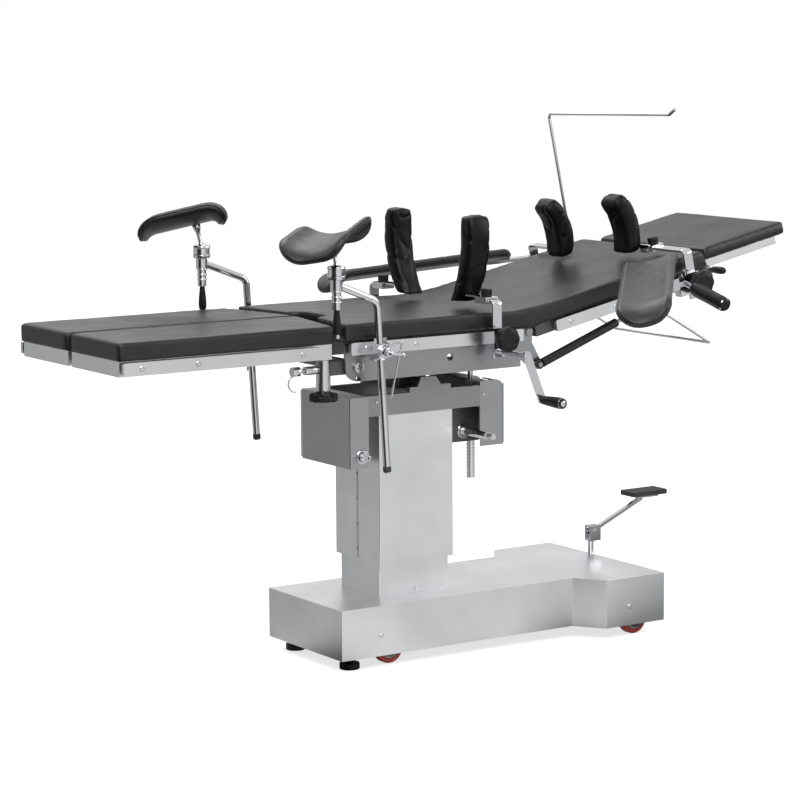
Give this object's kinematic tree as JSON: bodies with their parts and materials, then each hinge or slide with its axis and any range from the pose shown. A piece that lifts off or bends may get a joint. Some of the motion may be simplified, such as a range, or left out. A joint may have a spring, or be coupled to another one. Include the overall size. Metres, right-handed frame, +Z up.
{
  "type": "operating table",
  "caption": "Manual operating table with a tilting sectional padded top on a hydraulic column, with rail-mounted knee crutches, arm boards, side and shoulder supports and a screen rod.",
  "frame": {"origin": "on the floor under the centre of the lifting column", "axes": "+X toward the head end, -Y toward the side with the crank, +Z up"},
  "size_m": [1.9453, 1.2608, 1.3198],
  "materials": {
    "polished_steel": "polished",
    "cast_frame": "matte",
    "black_plastic": "satin",
    "brushed_steel": "brushed",
    "chrome": "polished",
    "dark_casting": "satin",
    "frame_steel": "satin",
    "upholstery": "semi-gloss",
    "black_gloss": "gloss",
    "wheel": "satin"
  },
  "bodies": {
    "base": {"base_cover": "polished_steel", "base_chassis": "cast_frame", "levelling_feet": "black_plastic", "inner_column": "brushed_steel", "lift_cylinder": "chrome", "pump_post": "chrome"},
    "pump_pedal": {"pump_lever": "chrome", "pedal_pad": "black_plastic"},
    "column_head": {"column_sleeve": "brushed_steel", "lift_ram": "chrome", "tilt_yoke": "brushed_steel", "gear_housings": "brushed_steel", "tilt_gearbox": "dark_casting"},
    "tilt_spindle": {"tilt_spindle": "chrome"},
    "tilt_shaft": {"tilt_shaft": "chrome"},
    "lateral_shaft": {"lateral_shaft": "chrome"},
    "tilt_cradle": {"tilt_cradle": "dark_casting"},
    "seat": {"seat_side_plates": "frame_steel", "seat_pan": "frame_steel", "seat_pad": "upholstery", "seat_rails": "brushed_steel", "rail_clamps": "chrome"},
    "back": {"back_frame": "frame_steel", "back_rails": "brushed_steel", "back_pad": "upholstery", "back_clamps": "chrome"},
    "head": {"head_frame": "frame_steel", "head_pad": "upholstery"},
    "head_lever": {"head_lever": "chrome"},
    "strut_cylinder": {"strut_cylinder": "black_gloss"},
    "strut_rod": {"strut_rod": "chrome"},
    "release_bail": {"release_bail": "chrome"},
    "crank": {"crank_handle": "chrome"},
    "screen_rod": {"screen_rod": "chrome"},
    "foot_wheel_near": {"foot_wheel_near": "wheel"},
    "head_wheel_near": {"head_wheel_near": "wheel"},
    "leg_bracket_near": {"leg_bracket_near": "chrome"},
    "leg_knob_near": {"leg_knob_near": "black_plastic"},
    "leg_near": {"leg_frame_near": "frame_steel", "leg_pad_near": "upholstery"},
    "knee_pole_near": {"knee_pole_near": "chrome"},
    "knee_pad_near": {"knee_pad_near": "upholstery"},
    "lateral_bar_near": {"lateral_bar_near": "chrome"},
    "lateral_pad_near": {"lateral_pad_near": "upholstery"},
    "shoulder_bar_near": {"shoulder_bar_near": "chrome"},
    "shoulder_pad_near": {"shoulder_pad_near": "upholstery"},
    "arm_board_near": {"arm_board_near": "upholstery"},
    "foot_wheel_far": {"foot_wheel_far": "wheel"},
    "head_wheel_far": {"head_wheel_far": "wheel"},
    "leg_bracket_far": {"leg_bracket_far": "chrome"},
    "leg_knob_far": {"leg_knob_far": "black_plastic"},
    "leg_far": {"leg_frame_far": "frame_steel", "leg_pad_far": "upholstery"},
    "knee_pole_far": {"knee_pole_far": "chrome"},
    "knee_pad_far": {"knee_pad_far": "upholstery"},
    "lateral_bar_far": {"lateral_bar_far": "chrome"},
    "lateral_pad_far": {"lateral_pad_far": "upholstery"},
    "shoulder_bar_far": {"shoulder_bar_far": "chrome"},
    "shoulder_pad_far": {"shoulder_pad_far": "upholstery"},
    "arm_board_far": {"arm_board_far": "upholstery"}
  },
  "joints": [
    {"name": "foot_wheel_near_roll", "type": "hinge", "parent": "base", "child": "foot_wheel_near", "pos_m": [-0.102, -0.124, 0.0375], "axis": [0, 1, 0], "continuous": true},
    {"name": "head_wheel_near_roll", "type": "hinge", "parent": "base", "child": "head_wheel_near", "pos_m": [0.581, -0.205, 0.0375], "axis": [0, 1, 0], "continuous": true},
    {"name": "foot_wheel_far_roll", "type": "hinge", "parent": "base", "child": "foot_wheel_far", "pos_m": [-0.102, 0.124, 0.0375], "axis": [0, 1, 0], "continuous": true},
    {"name": "head_wheel_far_roll", "type": "hinge", "parent": "base", "child": "head_wheel_far", "pos_m": [0.581, 0.205, 0.0375], "axis": [0, 1, 0], "continuous": true},
    {"name": "pump_pedal_press", "type": "hinge", "parent": "base", "child": "pump_pedal", "pos_m": [0.652, 0.052, 0.216], "axis": [0, 1, 0], "range_deg": [0, 25], "stiffness_Nm_per_rad": 40, "springref_deg": -17.19},
    {"name": "column_lift", "type": "slide", "parent": "base", "child": "column_head", "axis": [0, 0, 1], "range_m": [-0.078, 0.16]},
    {"name": "tilt_spindle_travel", "type": "slide", "parent": "column_head", "child": "tilt_spindle", "axis": [0, 0, 1], "range_m": [-0.062, 0.062]},
    {"name": "tilt_shaft_turn", "type": "hinge", "parent": "column_head", "child": "tilt_shaft", "pos_m": [0.166, -0.1, 0.536], "axis": [0, 1, 0], "continuous": true},
    {"name": "lateral_shaft_turn", "type": "hinge", "parent": "column_head", "child": "lateral_shaft", "pos_m": [-0.161, -0.1, 0.507], "axis": [0, 1, 0], "continuous": true},
    {"name": "trendelenburg_tilt", "type": "hinge", "parent": "column_head", "child": "tilt_cradle", "pos_m": [0.03, 0, 0.668], "axis": [0, 1, 0], "range_deg": [-20, 20]},
    {"name": "lateral_tilt", "type": "hinge", "parent": "tilt_cradle", "child": "seat", "pos_m": [0, 0, 0.705], "axis": [1, 0, 0], "range_deg": [-15, 15]},
    {"name": "leg_fold_near", "type": "hinge", "parent": "seat", "child": "leg_bracket_near", "pos_m": [-0.249, -0.215, 0.7425], "axis": [0, -1, 0], "range_deg": [0, 90]},
    {"name": "leg_knob_near_turn", "type": "hinge", "parent": "leg_bracket_near", "child": "leg_knob_near", "pos_m": [-0.333, -0.215, 0.68], "axis": [0, 0, 1], "continuous": true},
    {"name": "leg_spread_near", "type": "hinge", "parent": "leg_bracket_near", "child": "leg_near", "pos_m": [-0.333, -0.215, 0.74], "axis": [0, 0, 1], "range_deg": [0, 45]},
    {"name": "leg_fold_far", "type": "hinge", "parent": "seat", "child": "leg_bracket_far", "pos_m": [-0.249, 0.215, 0.7425], "axis": [0, -1, 0], "range_deg": [0, 90]},
    {"name": "leg_knob_far_turn", "type": "hinge", "parent": "leg_bracket_far", "child": "leg_knob_far", "pos_m": [-0.333, 0.215, 0.68], "axis": [0, 0, 1], "continuous": true},
    {"name": "leg_spread_far", "type": "hinge", "parent": "leg_bracket_far", "child": "leg_far", "pos_m": [-0.333, 0.215, 0.74], "axis": [0, 0, -1], "range_deg": [0, 30]},
    {"name": "back_raise", "type": "hinge", "parent": "seat", "child": "back", "pos_m": [0.24, 0, 0.792], "axis": [0, -1, 0], "range_deg": [-22, 58]},
    {"name": "head_raise", "type": "hinge", "parent": "back", "child": "head", "pos_m": [0.79496, 0, 0.91303], "axis": [0, -1, 0], "range_deg": [-90, 28]},
    {"name": "head_lever_turn", "type": "hinge", "parent": "back", "child": "head_lever", "pos_m": [0.79496, -0.23, 0.91303], "axis": [0, 1, 0], "range_deg": [-30, 30]},
    {"name": "strut_swing", "type": "hinge", "parent": "seat", "child": "strut_cylinder", "pos_m": [0.263, -0.245, 0.712], "axis": [0, -1, 0], "range_deg": [-20.47, 53.95]},
    {"name": "strut_stroke", "type": "slide", "parent": "strut_cylinder", "child": "strut_rod", "axis": [0.9376, 0, 0.3477], "range_m": [-0.028, 0.0735]},
    {"name": "bail_squeeze", "type": "hinge", "parent": "back", "child": "release_bail", "pos_m": [0.61473, 0, 0.84711], "axis": [0, -1, 0], "range_deg": [0, 15], "stiffness_Nm_per_rad": 4, "springref_deg": -17.19},
    {"name": "crank_turn", "type": "hinge", "parent": "seat", "child": "crank", "pos_m": [0.16, -0.229, 0.751], "axis": [0, 1, 0], "continuous": true},
    {"name": "knee_pole_near_height", "type": "slide", "parent": "seat", "child": "knee_pole_near", "axis": [-0.061, 0, 0.9981], "range_m": [-0.06, 0.08]},
    {"name": "knee_pad_near_swivel", "type": "hinge", "parent": "knee_pole_near", "child": "knee_pad_near", "pos_m": [-0.34351, -0.29433, 0.946], "axis": [0, 0, 1], "range_deg": [-60, 60]},
    {"name": "lateral_bar_near_height", "type": "slide", "parent": "seat", "child": "lateral_bar_near", "axis": [0, 0, 1], "range_m": [-0.011, 0.06]},
    {"name": "lateral_pad_near_reach", "type": "slide", "parent": "lateral_bar_near", "child": "lateral_pad_near", "axis": [0, 1, 0], "range_m": [0, 0.03]},
    {"name": "shoulder_bar_near_height", "type": "slide", "parent": "back", "child": "shoulder_bar_near", "axis": [-0.2079, 0, 0.9781], "range_m": [-0.002, 0.06]},
    {"name": "shoulder_pad_near_reach", "type": "slide", "parent": "shoulder_bar_near", "child": "shoulder_pad_near", "axis": [0, 1, 0], "range_m": [-0.05, 0.01]},
    {"name": "arm_board_near_swing", "type": "hinge", "parent": "back", "child": "arm_board_near", "pos_m": [0.54095, -0.326, 0.91526], "axis": [-0.2079, 0, 0.9781], "range_deg": [-35, 60]},
    {"name": "knee_pole_far_height", "type": "slide", "parent": "seat", "child": "knee_pole_far", "axis": [-0.061, 0, 0.9981], "range_m": [-0.06, 0.08]},
    {"name": "knee_pad_far_swivel", "type": "hinge", "parent": "knee_pole_far", "child": "knee_pad_far", "pos_m": [-0.36506, 0.29433, 0.955], "axis": [0, 0, 1], "range_deg": [-60, 60]},
    {"name": "lateral_bar_far_height", "type": "slide", "parent": "seat", "child": "lateral_bar_far", "axis": [0, 0, 1], "range_m": [-0.011, 0.06]},
    {"name": "lateral_pad_far_reach", "type": "slide", "parent": "lateral_bar_far", "child": "lateral_pad_far", "axis": [0, -1, 0], "range_m": [0, 0.03]},
    {"name": "shoulder_bar_far_height", "type": "slide", "parent": "back", "child": "shoulder_bar_far", "axis": [-0.2079, 0, 0.9781], "range_m": [-0.002, 0.06]},
    {"name": "shoulder_pad_far_reach", "type": "slide", "parent": "shoulder_bar_far", "child": "shoulder_pad_far", "axis": [0, -1, 0], "range_m": [-0.05, 0.01]},
    {"name": "arm_board_far_swing", "type": "hinge", "parent": "back", "child": "arm_board_far", "pos_m": [0.55758, 0.406, 0.9188], "axis": [0.2079, 0, -0.9781], "range_deg": [0, 90]},
    {"name": "screen_rod_swing", "type": "hinge", "parent": "back", "child": "screen_rod", "pos_m": [0.73303, 0.276, 1.00721], "axis": [-0.2079, 0, 0.9781], "range_deg": [-90, 90]}
  ],
  "couplings": [
    {"joint": "tilt_spindle_travel", "follows": "trendelenburg_tilt", "m_per_rad": -0.173},
    {"joint": "strut_swing", "follows": "back_raise", "ratio": 0.93},
    {"joint": "strut_stroke", "follows": "back_raise", "m_per_rad": 0.072}
  ]
}
